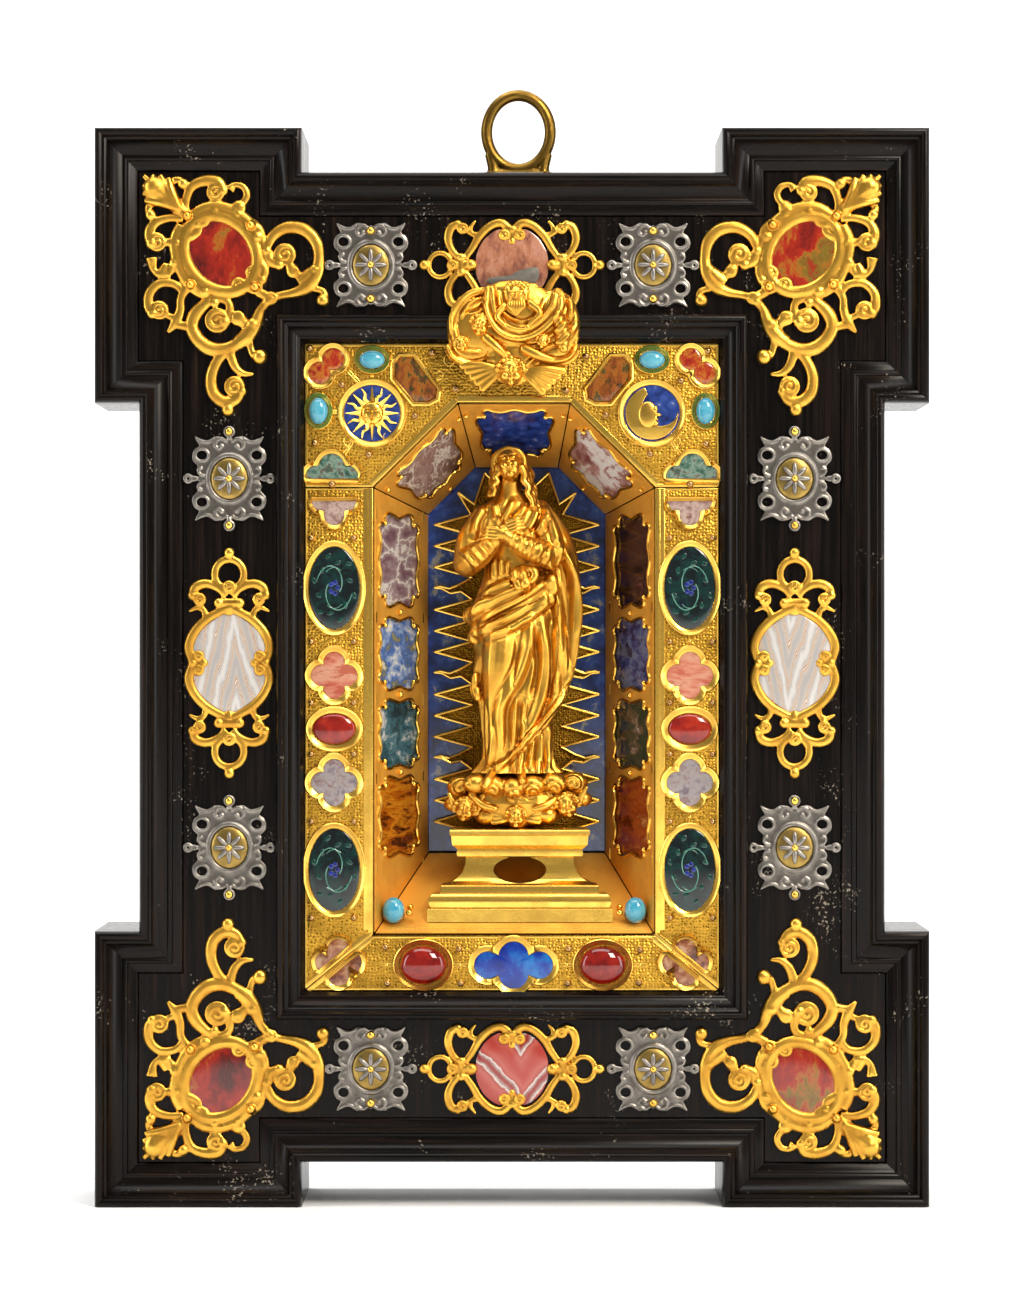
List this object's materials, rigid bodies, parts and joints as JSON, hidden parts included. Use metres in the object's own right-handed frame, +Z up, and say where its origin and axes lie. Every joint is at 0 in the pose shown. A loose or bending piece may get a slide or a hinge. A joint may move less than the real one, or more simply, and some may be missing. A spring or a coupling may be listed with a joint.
{
  "type": "altarpiece",
  "caption": "Small hanging altarpiece: an eared ebony frame with gilt and silver mounts round a stone-set niche that holds a gilt standing figure.",
  "frame": {"origin": "centre of the bounding box's underside, on the plane that the two lower ears stand on", "axes": "+Z up towards the hanging ring, +Y towards the plain back, so the front with the niche faces -Y, and +X to the right as the front is seen"},
  "size_m": [0.318, 0.067, 0.4285],
  "materials": {
    "ebony": "polished, nearly black ebony with faint brown grain",
    "gilt_copper": "fire-gilt copper, punched, chased and burnished",
    "old_silver": "old cast silver, darkened in the hollows",
    "dark_brass": "worn dark brass",
    "red_jasper": "polished red jasper with yellow and orange",
    "banded_agate": "polished banded agate",
    "lapis_lazuli": "polished lapis lazuli",
    "carnelian": "dark red polished carnelian",
    "turquoise": "pale blue polished turquoise",
    "dark_enamel": "glossy dark enamel with coloured scrolls"
  },
  "bodies": {
    "root": {"agate_left": "banded_agate", "agate_right": "banded_agate", "arch_facet": "gilt_copper", "blue_foil": "lapis_lazuli", "bottom_agate": "banded_agate", "bottom_mount": "gilt_copper", "bottom_plate": "gilt_copper", "carnelian_left": "carnelian", "carnelian_right": "carnelian", "case": "ebony", "clouds": "gilt_copper", "corner_mount_lower_left": "gilt_copper", "corner_mount_lower_right": "gilt_copper", "corner_mount_upper_left": "gilt_copper", "corner_mount_upper_right": "gilt_copper", "crown_group": "gilt_copper", "enamel_left_lower": "dark_enamel", "enamel_left_upper": "dark_enamel", "enamel_right_lower": "dark_enamel", "enamel_right_upper": "dark_enamel", "field": "ebony", "figure": "gilt_copper", "floor": "gilt_copper", "hanging_ring": "dark_brass", "inner_moulding": "ebony", "jasper_lower_left": "red_jasper", "jasper_lower_right": "red_jasper", "jasper_upper_left": "red_jasper", "jasper_upper_right": "red_jasper", "left_facet": "gilt_copper", "left_plate": "gilt_copper", "left_wall": "gilt_copper", "moon": "gilt_copper", "outer_moulding": "ebony", "pedestal": "gilt_copper", "rays": "gilt_copper", "right_facet": "gilt_copper", "right_plate": "gilt_copper", "right_wall": "gilt_copper", "side_mount_left": "gilt_copper", "side_mount_right": "gilt_copper", "silver_mount_bottom_left": "old_silver", "silver_mount_bottom_right": "old_silver", "silver_mount_left_lower": "old_silver", "silver_mount_left_upper": "old_silver", "silver_mount_right_lower": "old_silver", "silver_mount_right_upper": "old_silver", "silver_mount_top_left": "old_silver", "silver_mount_top_right": "old_silver", "stone_back": "lapis_lazuli", "sun": "gilt_copper", "top_agate": "banded_agate", "top_mount": "gilt_copper", "top_plate": "gilt_copper", "turquoise_left_lower": "turquoise", "turquoise_left_upper": "turquoise", "turquoise_right_lower": "turquoise", "turquoise_right_upper": "turquoise"}
  },
  "joints": []
}
